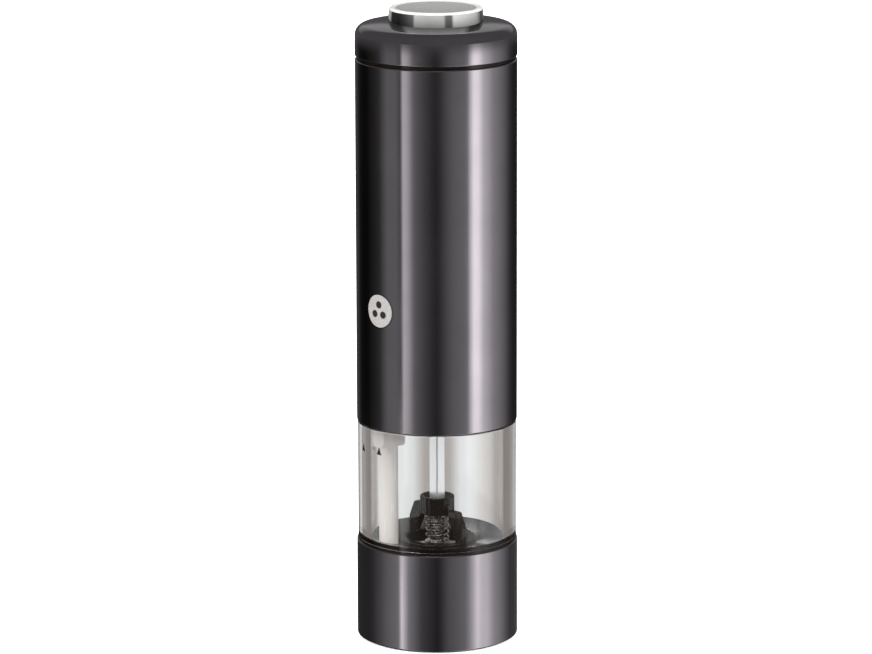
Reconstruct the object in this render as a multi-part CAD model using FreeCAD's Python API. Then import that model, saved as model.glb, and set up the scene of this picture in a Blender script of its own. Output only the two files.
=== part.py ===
import FreeCAD, Part
import math
import os

# Battery pepper mill: a clear hopper on a metal-sleeved base, with the grinder in the base, and a
# metal-tubed head that holds the gearbox, the motor and four cells under a cap with a push button.
# Millimetres, +Z up, origin at the centre of the face it stands on, front at -Y.

# ---- driving dimensions ----
TUBE_R = 27.5             # outside of the head's tube
BASE_R = 27.65            # outside of the base's metal sleeve
WINDOW_R = 27.2           # outside of the clear window
HOPPER_R = 22.8           # inside of the clear window
BASE_TOP = 34.3           # top of the sleeve
WINDOW_TOP = 76.2         # shoulder of the window
TUBE_BOTTOM = 76.5
TUBE_TOP = 201.3
CAP_BOTTOM = 202.5
CAP_EDGE = 213.2          # height of the cap's top at its shoulder, before rounding
CAP_TOP = 214.3           # height of the cap's top at the button
BUTTON_TOP = 218.8
BUTTON_R = 16.05
WALL = 0.8                # sheet metal of the tube and sleeve

RIM_LIP = 0.9             # black lip between sleeve and window
FLOOR_EDGE = 36.0         # hopper's floor at the window; it falls like a funnel to the throat
FLOOR_LOW = 33.95         # hopper's floor where it meets the throat
NECK_R = 24.4             # neck of the window, inside the head
NECK_TOP = 88.0
BURR_R = 12.5             # outside of the ring burr
BURR_BOTTOM = 13.0
BURR_TOP = 25.0
SPINDLE_R = 2.5
SPINDLE_FLAT = 2.1        # half of the spindle's width across its two flats
CUP_BOTTOM = 43.0
CUP_TOP = 49.4
CUP_R = 5.95
SHAFT_FLAT = 2.0          # half of the drive shaft's width across flats
SHAFT_CORNER_R = 2.6      # circle that its chamfered corners lie on
SHAFT_BOTTOM = 45.3
CONDUIT_R = 2.95          # outside of the lamp tube
LAMP_R = 18.5             # distance of the lamp tube from the axis
LAMP_ANGLE = -149.0       # direction of the lamp tube, degrees from +X
TWIST = -20.5             # twist that locks the head, degrees

MODULE = 0.5              # gears
SUN_TEETH = 9
PLANET_TEETH = 18
RING_TEETH = 45
PLANET_ORBIT = MODULE * (SUN_TEETH + PLANET_TEETH) / 2
BACKLASH = 0.05           # taken off each flank

CELL_R = 7.25             # AA cells
CELL_LENGTH = 50.5
CELL_BOTTOM = 148.9
CELL_ORBIT = 10.7

Z_AXIS = FreeCAD.Vector(0, 0, 1)
ORIGIN = FreeCAD.Vector(0, 0, 0)

os.makedirs("parts", exist_ok=True)


# ---- helpers ----
def save(name, shape):
    shape = shape.removeSplitter()
    shape.exportStep("parts/" + name + ".step")


def join(solids):
    whole = solids[0]
    for solid in solids[1:]:
        whole = whole.fuse(solid)
    return whole


def group(solids):
    return Part.makeCompound(solids)


def disc(radius, bottom, top, x=0.0, y=0.0):
    return Part.makeCylinder(radius, top - bottom, FreeCAD.Vector(x, y, bottom))


def ring(outer, inner, bottom, top, x=0.0, y=0.0):
    return disc(outer, bottom, top, x, y).cut(disc(inner, bottom - 1, top + 1, x, y))


def polar(radius, degrees):
    angle = math.radians(degrees)
    return radius * math.cos(angle), radius * math.sin(angle)


def turned(outline):
    """Solid of revolution about Z from a closed outline of (radius, height) points."""
    points = [FreeCAD.Vector(r, 0, z) for r, z in outline]
    points.append(points[0])
    face = Part.Face(Part.makePolygon(points))
    return face.revolve(ORIGIN, Z_AXIS, 360)


def prism(points, bottom, top):
    """Solid with a flat outline of (x, y) points."""
    corners = [FreeCAD.Vector(x, y, bottom) for x, y in points]
    corners.append(corners[0])
    return Part.Face(Part.makePolygon(corners)).extrude(FreeCAD.Vector(0, 0, top - bottom))


def block(low, high):
    size = [high[i] - low[i] for i in range(3)]
    return Part.makeBox(size[0], size[1], size[2], FreeCAD.Vector(*low))


def turn(shape, degrees):
    copy = shape.copy()
    copy.rotate(ORIGIN, Z_AXIS, degrees)
    return copy


def around(shape, count, start=0.0):
    return [turn(shape, start + k * 360.0 / count) for k in range(count)]


def sector(outer, inner, bottom, top, centre, width):
    """Piece of a ring, width degrees wide, with its middle at the angle centre."""
    piece = Part.makeCylinder(outer, top - bottom, FreeCAD.Vector(0, 0, bottom), Z_AXIS, width)
    piece = piece.cut(disc(inner, bottom - 1, top + 1))
    return turn(piece, centre - width / 2)


def circle_edges(shape, radius, height, slack=0.05):
    """Circular edges of one radius at one height."""
    found = []
    for edge in shape.Edges:
        round_edge = isinstance(edge.Curve, Part.Circle)
        if not round_edge or abs(edge.Curve.Radius - radius) > slack:
            continue
        if abs(edge.BoundBox.ZMin - height) < slack and abs(edge.BoundBox.ZMax - height) < slack:
            found.append(edge)
    return found


def soften(shape, radius, height, size):
    return shape.makeFillet(size, circle_edges(shape, radius, height))


def coil(radius, wire, bottom, top, turns, x=0.0, y=0.0):
    """Coil spring that stands between two heights; its wire's section has ten sides."""
    pitch = (top - bottom - wire) / turns
    helix = Part.makeHelix(pitch, pitch * turns, radius)
    corners = []
    for k in range(11):
        across, up = polar(wire / 2, k * 36.0)
        corners.append(FreeCAD.Vector(radius + across, 0, up))
    spring = Part.Wire(helix).makePipeShell([Part.makePolygon(corners)], True, True)
    spring.translate(FreeCAD.Vector(x, y, bottom + wire / 2))
    return spring


def screw(x, y, head_top, length, shank=1.2, head=2.2, head_height=1.4, upside_down=False):
    """Pan-head screw with a cross recess; upside_down puts its head at the bottom."""
    body = disc(head, -head_height, 0)
    body = body.fuse(disc(shank, -head_height - length, -head_height))
    arm = head * 0.62
    slot = block((-arm, -0.3, -0.8), (arm, 0.3, 0.2))
    body = body.cut(slot.fuse(turn(slot, 90)))
    if upside_down:
        body.rotate(ORIGIN, FreeCAD.Vector(1, 0, 0), 180)
    body.translate(FreeCAD.Vector(x, y, head_top))
    return body


# ---- gear teeth ----
PRESSURE = math.radians(20)


def involute(angle):
    return math.tan(angle) - angle


def half_tooth(teeth, radius, slack):
    """Half of a tooth's angle at one radius, narrowed by the slack on its flank."""
    pitch_r = MODULE * teeth / 2
    base_r = pitch_r * math.cos(PRESSURE)
    at_r = max(radius, base_r)
    spread = involute(PRESSURE) - involute(math.acos(base_r / at_r))
    return math.pi / (2 * teeth) + spread - slack / pitch_r


def gear_outline(teeth, root_r, tip_r, slack, first_tooth=0.0):
    """Outline with a tooth at the angle first_tooth; each flank has four points."""
    levels = [root_r + (tip_r - root_r) * step for step in (0, 0.4, 0.7, 1)]
    points = []
    for k in range(teeth):
        middle = math.radians(first_tooth) + 2 * math.pi * k / teeth
        for r in levels:
            angle = middle - half_tooth(teeth, r, slack)
            points.append((r * math.cos(angle), r * math.sin(angle)))
        for r in reversed(levels):
            angle = middle + half_tooth(teeth, r, slack)
            points.append((r * math.cos(angle), r * math.sin(angle)))
    return points


SUN_PITCH_R = MODULE * SUN_TEETH / 2
PLANET_PITCH_R = MODULE * PLANET_TEETH / 2
RING_PITCH_R = MODULE * RING_TEETH / 2
PLANET_TIP_R = PLANET_PITCH_R + 0.30     # stub teeth, so that small gears don't foul
PLANET_ROOT_R = PLANET_PITCH_R - 0.62
SUN_TIP_R = SUN_PITCH_R + 0.50
SUN_ROOT_R = SUN_PITCH_R - 0.45
RING_TIP_R = RING_PITCH_R - 0.33
RING_ROOT_R = RING_PITCH_R + 0.48


def sun_gear(bottom, top):
    space_ahead = 180.0 / SUN_TEETH
    return prism(gear_outline(SUN_TEETH, SUN_ROOT_R, SUN_TIP_R, BACKLASH, space_ahead), bottom, top)


def planet_gear(bottom, top, bore):
    gear = prism(gear_outline(PLANET_TEETH, PLANET_ROOT_R, PLANET_TIP_R, BACKLASH), bottom, top)
    gear = gear.cut(disc(bore, bottom - 1, top + 1))
    gear.translate(FreeCAD.Vector(PLANET_ORBIT, 0, 0))
    return gear


# ---- base ----
DECK_BOTTOM = 27.8        # underside of the hopper's floor
GROOVE = 30.8             # bottom of the groove that the window stands in
THROAT_R = 10.6
THROAT_STEP = 32.1        # shoulder of the burr carrier, under the rim of the floor
PLATE_BOTTOM = 31.0       # steel plate across the throat
PLATE_TOP = 32.2
COLLAR_TOP = 33.3         # collar on the spindle that the cup's spring stands on
OUTLET_R = 10.3           # hole that the ground pepper falls through
OUTLET_BOTTOM = 9.0
POST_ORBIT = 19.5
POST_ANGLES = (-90.0, 30.0, 150.0)
PLATE_SCREW_PLACES = (-8.0, 8.0)


def base_sleeve():
    sleeve = ring(BASE_R, BASE_R - WALL, 0.6, BASE_TOP)
    sleeve = soften(sleeve, BASE_R, BASE_TOP, 0.5)
    return soften(sleeve, BASE_R, 0.6, 0.4)


def base_body():
    wall_out = BASE_R - WALL - 0.05
    wall_in = 24.6
    shell = turned([
        (wall_in, 0), (wall_out, 0), (wall_out, BASE_TOP), (WINDOW_R + 0.1, BASE_TOP),
        (WINDOW_R + 0.1, BASE_TOP + RIM_LIP), (25.6, BASE_TOP + RIM_LIP), (25.6, GROOVE),
        (HOPPER_R - 0.1, GROOVE), (HOPPER_R - 0.1, FLOOR_EDGE), (BURR_R, FLOOR_LOW),
        (BURR_R, THROAT_STEP + 0.1), (14.0, THROAT_STEP + 0.1), (14.0, DECK_BOTTOM),
        (wall_in, DECK_BOTTOM)])
    shell = soften(shell, wall_out, 0, 0.8)
    posts = []
    pilots = []
    for angle in POST_ANGLES:
        x, y = polar(POST_ORBIT, angle)
        posts.append(disc(3.0, 13.0, DECK_BOTTOM + 0.5, x, y))
        pilots.append(disc(1.25, 11.0, DECK_BOTTOM - 1, x, y))
    lamp_x, lamp_y = polar(LAMP_R, LAMP_ANGLE)
    body = join([shell] + posts)
    return body.cut(group(pilots + [disc(CONDUIT_R + 0.1, 20, 40, lamp_x, lamp_y)]))


def burr_carrier():
    """Sleeve that holds the ring burr; its top is the throat in the hopper's floor."""
    body = turned([
        (BURR_R + 0.05, 13.0), (13.9, 13.0), (13.9, THROAT_STEP), (BURR_R - 0.1, THROAT_STEP),
        (BURR_R - 0.1, FLOOR_LOW - 0.1), (THROAT_R, FLOOR_LOW - 0.1), (THROAT_R, BURR_TOP + 0.05),
        (BURR_R + 0.05, BURR_TOP + 0.05)])
    ledges = []
    for side in (0, 180):
        ledges.append(sector(THROAT_R + 0.2, 8.2, PLATE_BOTTOM - 1.8, PLATE_BOTTOM, side, 50))
    pilots = [disc(0.78, PLATE_BOTTOM - 2, PLATE_BOTTOM + 1, x, 0) for x in PLATE_SCREW_PLACES]
    return join([body] + ledges).cut(group(pilots))


def cross_plate():
    """Flat steel bar with pointed ends and a round middle that holds the spindle in the throat."""
    half_length = 10.2
    half_width = 2.9
    shoulder = 7.2
    bar = prism([
        (-half_length, 0), (-shoulder, -half_width), (shoulder, -half_width), (half_length, 0),
        (shoulder, half_width), (-shoulder, half_width)], PLATE_BOTTOM, PLATE_TOP)
    plate = bar.fuse(disc(5.0, PLATE_BOTTOM, PLATE_TOP))
    holes = [disc(0.8, PLATE_BOTTOM - 1, PLATE_TOP + 1, x, 0) for x in PLATE_SCREW_PLACES]
    holes.append(disc(3.6, PLATE_BOTTOM - 1, PLATE_TOP + 1))
    return plate.cut(group(holes))


def spindle_bush():
    """Brass bush pressed in the plate, which the spindle turns in."""
    return turned([
        (SPINDLE_R + 0.05, PLATE_BOTTOM - 0.8), (3.6, PLATE_BOTTOM - 0.8), (3.6, PLATE_TOP),
        (4.6, PLATE_TOP), (4.6, PLATE_TOP + 0.35), (SPINDLE_R + 0.05, PLATE_TOP + 0.35)])


def plate_screws():
    head_top = PLATE_TOP + 0.6
    return group([screw(x, 0, head_top, 3.0, 0.75, 1.2, 0.6) for x in PLATE_SCREW_PLACES])


FIN_ANGLE = -50.0         # direction of one of the two fins


def feed_ring():
    """Ring round the throat with two upright fins that stop the peppercorns turning."""
    foot_r = 13.4
    foot_top = FLOOR_LOW + 0.95
    foot = turned([
        (THROAT_R + 0.1, FLOOR_LOW), (BURR_R, FLOOR_LOW + 0.02), (foot_r, FLOOR_LOW + 0.22),
        (foot_r, foot_top), (THROAT_R + 0.1, foot_top)])
    fin_r = 14.0
    fin_in = 7.2
    fin_top = 45.3
    half_thick = 1.3
    fin = prism([
        (11.2, FLOOR_LOW + 0.05), (BURR_R, FLOOR_LOW + 0.05), (fin_r, FLOOR_LOW + 0.35),
        (fin_r, 39.9), (11.3, fin_top), (fin_in, fin_top), (fin_in, 42.0)], -half_thick, half_thick)
    fin.rotate(ORIGIN, FreeCAD.Vector(1, 0, 0), 90)
    return join([foot] + around(fin, 2, FIN_ANGLE))


def grooved_cone(cone, count, root_low, root_high, size, inward):
    """Cuts straight V grooves, root_low and root_high being (radius, height) of a groove's ends."""
    reach = size if inward else -size
    cutters = []
    for k in range(count):
        section = []
        for radius, height in (root_low, root_high):
            tip = FreeCAD.Vector(radius, 0, height)
            left = FreeCAD.Vector(radius - reach, size * 0.75, height)
            right = FreeCAD.Vector(radius - reach, -size * 0.75, height)
            section.append(Part.Wire(Part.makePolygon([tip, left, right, tip])))
        cutter = Part.makeLoft(section, True, True)
        cutters.append(turn(cutter, k * 360.0 / count))
    return cone.cut(group(cutters))


def ring_burr():
    body = turned([
        (10.15, BURR_BOTTOM), (BURR_R, BURR_BOTTOM), (BURR_R, BURR_TOP), (11.6, BURR_TOP),
        (8.0, 19.0)])
    fine = grooved_cone(body, 30, (10.75, 12.9), (8.45, 19.4), 1.2, True)
    return grooved_cone(fine, 8, (9.4, 18.2), (12.1, 25.1), 2.6, True)


def rotor_burr():
    body = turned([(0, 13.2), (9.75, 13.2), (7.65, 19.0), (3.6, 27.0), (0, 27.0)])
    body = body.cut(two_flats(SPINDLE_R + 0.08, SPINDLE_FLAT + 0.08, 13, 28))
    fine = grooved_cone(body, 30, (9.15, 13.0), (7.2, 19.2), 1.2, False)
    return grooved_cone(fine, 6, (6.0, 18.4), (2.75, 27.2), 2.6, False)


def two_flats(radius, half_width, bottom, top):
    """Round bar with two flats."""
    slab = block((-radius - 1, -half_width, bottom), (radius + 1, half_width, top))
    return disc(radius, bottom, top).common(slab)


def grind_spindle():
    """Steel spindle; two flats drive the rotor burr, and its lower end carries the knob."""
    rod = disc(SPINDLE_R, 28.4, CUP_BOTTOM + 1.0)
    flats = two_flats(SPINDLE_R, SPINDLE_FLAT, 6.8, 28.5)
    collar = disc(4.2, COLLAR_TOP - 0.6, COLLAR_TOP)
    return join([rod, flats, collar])


def coupling_cup():
    """Cup on top of the spindle; four ribs inside it drive the square shaft, with free play."""
    socket_r = 3.1
    socket_floor = CUP_BOTTOM + 1.9
    socket_top = CUP_TOP - 1.9
    shell = turned([
        (SPINDLE_R, CUP_BOTTOM), (CUP_R - 0.3, CUP_BOTTOM), (CUP_R, CUP_BOTTOM + 0.3),
        (CUP_R, CUP_TOP - 0.4), (CUP_R - 0.4, CUP_TOP), (CUP_R - 1.0, CUP_TOP),
        (socket_r, socket_top), (socket_r, socket_floor), (0, socket_floor),
        (0, CUP_BOTTOM + 1.0), (SPINDLE_R, CUP_BOTTOM + 1.0)])
    rib = block((2.2, -0.25, socket_floor - 0.1), (socket_r + 0.2, 0.25, socket_top))
    turned_back = TWIST / 2
    ribs = around(rib, 4, 45.0 + turned_back)
    return join([shell] + ribs)


def adjuster_knob():
    """Knob under the grinder that screws along the spindle and carries the rotor burr."""
    body = turned([
        (SPINDLE_R + 0.05, 13.1), (5.2, 13.1), (5.2, 11.6), (8.0, 11.6), (8.0, 4.6), (7.2, 3.8),
        (0, 3.8), (0, 5.2), (SPINDLE_R + 0.05, 5.2)])
    notch = disc(1.1, 3.0, 10.4, 8.6, 0)
    mark = block((2.6, -0.5, 3.0), (6.4, 0.5, 4.2))
    return body.cut(group(around(notch, 12))).cut(mark)


def outlet_ring():
    """Lower cover: it clamps the burr carrier, and its middle is the outlet."""
    plate = turned([
        (OUTLET_R, 11.0), (OUTLET_R + 0.6, OUTLET_BOTTOM), (24.4, OUTLET_BOTTOM), (24.4, 11.4),
        (15.0, 11.4), (15.0, 12.9), (OUTLET_R, 12.9)])
    holes = []
    for angle in POST_ANGLES:
        x, y = polar(POST_ORBIT, angle)
        plate = plate.fuse(disc(3.0, 11.0, 12.9, x, y))
        holes.append(disc(1.35, 8.0, 14.0, x, y))
        holes.append(disc(2.4, 8.0, OUTLET_BOTTOM + 1.5, x, y))
    lamp_x, lamp_y = polar(LAMP_R, LAMP_ANGLE)
    holes.append(disc(3.3, 8.0, 14.0, lamp_x, lamp_y))
    return plate.cut(group(holes))


def outlet_screws():
    screws = []
    for angle in POST_ANGLES:
        x, y = polar(POST_ORBIT, angle)
        screws.append(screw(x, y, OUTLET_BOTTOM + 0.1, 7.0, upside_down=True))
    return group(screws)


# ---- lamp ----
def lamp_led():
    x, y = polar(LAMP_R, LAMP_ANGLE)
    dome = Part.makeSphere(2.5, FreeCAD.Vector(x, y, 16.5))
    dome = dome.fuse(disc(2.5, 16.5, 21.5, x, y))
    return dome.fuse(disc(2.9, 20.5, 21.5, x, y))


def lamp_lens():
    x, y = polar(LAMP_R, LAMP_ANGLE)
    return disc(3.2, OUTLET_BOTTOM + 0.2, 11.5, x, y).fuse(disc(3.45, 11.4, 12.2, x, y))


BLOCK_BOTTOM = 69.4
BLOCK_TOP = 87.0


def lamp_conduit():
    """Clear tube through the hopper that keeps the lamp's wires away from the pepper."""
    x, y = polar(LAMP_R, LAMP_ANGLE)
    tube = ring(CONDUIT_R, CONDUIT_R - 0.7, 22.0, BLOCK_BOTTOM + 2.0, x, y)
    collar = ring(CONDUIT_R + 0.9, CONDUIT_R - 0.1, DECK_BOTTOM - 1.3, DECK_BOTTOM - 0.05, x, y)
    return tube.fuse(collar)


def lamp_block():
    """Socket at the top of the lamp tube, fixed to the neck's wall."""
    body = block((LAMP_R - 3.6, -4.45, BLOCK_BOTTOM), (LAMP_R + 6, 4.45, BLOCK_TOP))
    low_edges = []
    for edge in body.Edges:
        box = edge.BoundBox
        lengthwise = box.XLength > 5 and box.ZMax < BLOCK_BOTTOM + 0.01
        if lengthwise:
            low_edges.append(edge)
    body = body.makeFillet(2.2, low_edges)
    body = body.common(disc(HOPPER_R - 0.05, BLOCK_BOTTOM - 1, BLOCK_TOP + 1))
    body = body.cut(disc(CONDUIT_R + 0.05, BLOCK_BOTTOM - 1, BLOCK_BOTTOM + 2.0, LAMP_R, 0))
    body = body.cut(disc(2.0, BLOCK_BOTTOM - 1, BLOCK_TOP - 1.5, LAMP_R, 0))
    return turn(body, LAMP_ANGLE)


PAD_OFFSET = 2.2


def lamp_pads():
    pads = [disc(1.4, BLOCK_TOP, BLOCK_TOP + 0.9, LAMP_R, side) for side in (-PAD_OFFSET, PAD_OFFSET)]
    return turn(group(pads), LAMP_ANGLE)


def lamp_wires():
    x, y = polar(LAMP_R, LAMP_ANGLE)
    wires = []
    for side in (-0.8, 0.8):
        across_x, across_y = polar(side, LAMP_ANGLE + 90)
        wires.append(disc(0.5, 21.6, BLOCK_TOP - 1.6, x + across_x, y + across_y))
    return group(wires)


def lamp_pins():
    """Pins in the head that reach the lamp's pads when the head is twisted to its lock."""
    pins = []
    for side in (-PAD_OFFSET, PAD_OFFSET):
        pin = disc(0.8, 88.0, 93.4, LAMP_R, side)
        pins.append(pin.fuse(disc(1.3, 90.45, 90.9, LAMP_R, side)))
    return turn(group(pins), LAMP_ANGLE - TWIST)


# ---- hopper ----
LUG_ANGLES = (30.0, 150.0, 270.0)
LUG_WIDTH = 14.0
LUG_BOTTOM = 83.0
LUG_TOP = 86.0


def hopper_window():
    """Thick clear cylinder with a thinner neck that goes up into the head."""
    low = BASE_TOP + RIM_LIP
    body = turned([
        (HOPPER_R, GROOVE + 0.1), (25.5, GROOVE + 0.1), (25.5, low), (WINDOW_R, low),
        (WINDOW_R, WINDOW_TOP), (NECK_R, WINDOW_TOP), (NECK_R, NECK_TOP), (HOPPER_R, NECK_TOP)])
    body = soften(body, WINDOW_R, low, 0.3)
    body = soften(body, WINDOW_R, WINDOW_TOP, 0.4)
    lugs = [sector(25.4, NECK_R - 0.4, LUG_BOTTOM, LUG_TOP, angle, LUG_WIDTH) for angle in LUG_ANGLES]
    return join([body] + lugs)


def hopper_seal():
    return ring(24.4, 22.95, NECK_TOP + 0.05, 89.2)


# ---- head ----
DECK_LOW = 91.0
DECK_HIGH = 93.2
SLOT_WIDTH = LUG_WIDTH + 3.0
FRAME_POST_ORBIT = 22.0
FRAME_POST_ANGLES = (0.0, 90.0, 180.0, 270.0)
LID_SCREW_ORBIT = 17.0
LID_SCREW_ANGLES = (30.0, 150.0, 270.0)
CASE_SCREW_ORBIT = 15.2
CASE_SCREW_ANGLES = (60.0, 180.0, 300.0)
CARRIER_LOW = 143.6
CARRIER_FLOOR = 145.6


def outer_tube():
    tube = ring(TUBE_R, TUBE_R - WALL, TUBE_BOTTOM, TUBE_TOP)
    tube = soften(tube, TUBE_R, TUBE_BOTTOM, 0.35)
    return soften(tube, TUBE_R, TUBE_TOP, 0.35)


def head_liner():
    """Plastic chassis in the lower tube, with the bayonet ledge, the deck and four long posts."""
    inner = TUBE_R - WALL - 0.05
    skirt = ring(inner, 25.75, TUBE_BOTTOM + 0.5, DECK_HIGH)
    deck = disc(inner, DECK_LOW, DECK_HIGH).cut(disc(4.6, 80, 100))
    ledge = ring(25.9, 24.75, 79.2, 82.4)
    slots = [sector(26.5, 20, 79, 82.6, angle, SLOT_WIDTH) for angle in LUG_ANGLES]
    ledge = ledge.cut(group(slots))
    # seen from the head the lugs move forwards as it turns back to its lock, between two stop ribs
    ribs = []
    for angle in LUG_ANGLES:
        open_side = angle - LUG_WIDTH / 2 - 2.6
        locked_side = angle + LUG_WIDTH / 2 - TWIST + 2.6
        for side in (open_side, locked_side):
            ribs.append(sector(25.9, 24.9, 82.2, 87.0, side, 3.0))
    posts = []
    pilots = []
    for angle in FRAME_POST_ANGLES:
        x, y = polar(FRAME_POST_ORBIT, angle)
        posts.append(disc(2.8, DECK_HIGH - 0.5, CARRIER_LOW, x, y))
        pilots.append(disc(1.25, CARRIER_LOW - 9, CARRIER_LOW + 1, x, y))
    body = join([skirt, deck, ledge] + ribs + posts)
    pin_holes = []
    for side in (-PAD_OFFSET, PAD_OFFSET):
        pin_holes.append(turn(disc(0.9, 90, 95, LAMP_R, side), LAMP_ANGLE - TWIST))
    screw_holes = []
    for angle in CASE_SCREW_ANGLES:
        x, y = polar(CASE_SCREW_ORBIT, angle)
        screw_holes.append(disc(1.0, 90, 95, x, y))
    for angle in LID_SCREW_ANGLES:
        x, y = polar(LID_SCREW_ORBIT, angle)
        screw_holes.append(disc(1.02, 90, 92.6, x, y))
    return body.cut(group(pilots + pin_holes + screw_holes))


def hopper_lid():
    """Disc under the deck that closes the hopper; the seal sits in its groove."""
    body = turned([
        (4.6, 88.6), (22.85, 88.6), (22.85, 89.25), (24.5, 89.25), (24.5, 88.6), (25.3, 88.6),
        (25.3, DECK_LOW - 0.02), (4.6, DECK_LOW - 0.02)])
    holes = []
    for side in (-PAD_OFFSET, PAD_OFFSET):
        holes.append(turn(disc(0.95, 88, 92, LAMP_R, side), LAMP_ANGLE - TWIST))
        holes.append(turn(disc(1.35, 90.4, 92, LAMP_R, side), LAMP_ANGLE - TWIST))
    for angle in LID_SCREW_ANGLES:
        x, y = polar(LID_SCREW_ORBIT, angle)
        holes.append(disc(1.1, 88, 92, x, y))
        holes.append(disc(2.1, 88, 89.9, x, y))
    for angle in CASE_SCREW_ANGLES:
        x, y = polar(CASE_SCREW_ORBIT, angle)
        holes.append(disc(2.1, 89.7, 92, x, y))
    return body.cut(group(holes))


def lid_screws():
    screws = []
    for angle in LID_SCREW_ANGLES:
        x, y = polar(LID_SCREW_ORBIT, angle)
        screws.append(screw(x, y, 88.7, 2.6, 1.0, 2.0, 1.2, upside_down=True))
    return group(screws)


def shaft_bush():
    return turned([
        (3.65, 88.6), (4.55, 88.6), (4.55, DECK_HIGH), (5.6, DECK_HIGH), (5.6, 94.0), (3.65, 94.0)])


GEAR_CASE_R = 14.0
CASE_TOP = 108.6
MOTOR_BOTTOM = 110.4
MOTOR_TOP = 141.2
MOTOR_R = 13.8


def gear_case():
    """Round case with the ring gear's teeth inside it, which both planet stages run in."""
    case = disc(GEAR_CASE_R, DECK_HIGH, CASE_TOP)
    space = disc(11.9, DECK_HIGH + 1.0, 96.4)
    spaces = prism(gear_outline(RING_TEETH, RING_TIP_R, RING_ROOT_R, -BACKLASH), 96.3, CASE_TOP + 1)
    bore = disc(RING_TIP_R + 0.01, 96.2, CASE_TOP + 1)
    case = case.cut(space).cut(spaces).cut(bore).cut(disc(5.7, 90, 98))
    ears = []
    holes = []
    for angle in CASE_SCREW_ANGLES:
        x, y = polar(CASE_SCREW_ORBIT, angle)
        ears.append(disc(2.9, DECK_HIGH, DECK_HIGH + 2.6, x, y))
        holes.append(disc(0.95, DECK_HIGH - 1, DECK_HIGH + 2.7, x, y))
    ears = [ear.cut(disc(12.5, 90, 98)) for ear in ears]
    return join([case] + ears).cut(group(holes))


def case_screws():
    screws = []
    for angle in CASE_SCREW_ANGLES:
        x, y = polar(CASE_SCREW_ORBIT, angle)
        screws.append(screw(x, y, 89.8, 4.2, 0.9, 1.9, 1.15, upside_down=True))
    return group(screws)


def case_cover():
    plate = disc(GEAR_CASE_R, CASE_TOP, MOTOR_BOTTOM).cut(disc(3.2, 100, 115))
    holes = []
    for angle in (90.0, 270.0):
        x, y = polar(8.0, angle)
        holes.append(disc(1.05, 100, 115, x, y))
        holes.append(disc(1.9, CASE_TOP - 1, CASE_TOP + 1.1, x, y))
    return plate.cut(group(holes))


def motor_screws():
    screws = []
    for angle in (90.0, 270.0):
        x, y = polar(8.0, angle)
        screws.append(screw(x, y, CASE_TOP + 0.05, 3.0, 1.0, 1.8, 1.0, upside_down=True))
    return group(screws)


def stage_carrier(bottom, plate, pin_top):
    """Plate with three pins for the planets of the stage above it."""
    body = disc(9.4, bottom, bottom + plate)
    pins = around(disc(1.15, bottom + plate - 0.2, pin_top, PLANET_ORBIT, 0), 3)
    return join([body] + pins)


def output_carrier():
    body = stage_carrier(94.5, 1.7, 101.2)
    boss = disc(3.6, 88.8, 94.6)
    socket = drive_bar(0.03).common(disc(10, 80, 96.3))
    return body.fuse(boss).cut(socket)


def first_carrier():
    body = stage_carrier(101.7, 1.4, 107.6)
    return body.fuse(sun_gear(96.6, 101.8))


def drive_bar(grow=0.0):
    """Square bar with chamfered corners, set corner-on to the front."""
    flat = SHAFT_FLAT + grow
    bar = block((-flat, -flat, SHAFT_BOTTOM), (flat, flat, 96.0 + grow))
    bar = bar.common(disc(SHAFT_CORNER_R + grow, SHAFT_BOTTOM, 96.0 + grow))
    return turn(bar, 45)


def drive_shaft():
    bar = drive_bar()
    tip = turned([
        (0, SHAFT_BOTTOM), (1.7, SHAFT_BOTTOM), (2.7, SHAFT_BOTTOM + 1.2), (2.7, 97), (0, 97)])
    return bar.common(tip)


def motor_pinion():
    return sun_gear(103.6, 108.3).fuse(disc(1.0, 103.3, 113.5))


def motor_can():
    can = turned([
        (5.1, MOTOR_BOTTOM), (MOTOR_R - 0.8, MOTOR_BOTTOM), (MOTOR_R, MOTOR_BOTTOM + 0.8),
        (MOTOR_R, MOTOR_TOP - 1.6), (MOTOR_R - 0.9, MOTOR_TOP - 1.6),
        (MOTOR_R - 0.9, MOTOR_BOTTOM + 1.2), (1.1, MOTOR_BOTTOM + 1.2), (1.1, 108.8),
        (3.0, 108.8), (3.0, MOTOR_BOTTOM)])
    holes = []
    for angle in (90.0, 270.0):
        x, y = polar(8.0, angle)
        holes.append(disc(1.02, MOTOR_BOTTOM - 1, MOTOR_BOTTOM + 2.5, x, y))
    return can.cut(group(holes))


def motor_end():
    cap = turned([
        (0, MOTOR_TOP - 6), (MOTOR_R - 0.95, MOTOR_TOP - 6), (MOTOR_R - 0.95, MOTOR_TOP - 1.55),
        (MOTOR_R - 0.5, MOTOR_TOP - 1.55), (MOTOR_R - 0.5, MOTOR_TOP), (4.0, MOTOR_TOP),
        (4.0, MOTOR_TOP + 1.2), (0, MOTOR_TOP + 1.2)])
    tabs = [block((side - 0.2, 6.4, MOTOR_TOP - 1), (side + 0.2, 8.4, MOTOR_TOP + 2.0)) for side in (-7, 7)]
    return join([cap] + tabs)


def cell_places():
    return [polar(CELL_ORBIT, angle) for angle in (45.0, 135.0, 225.0, 315.0)]


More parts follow.
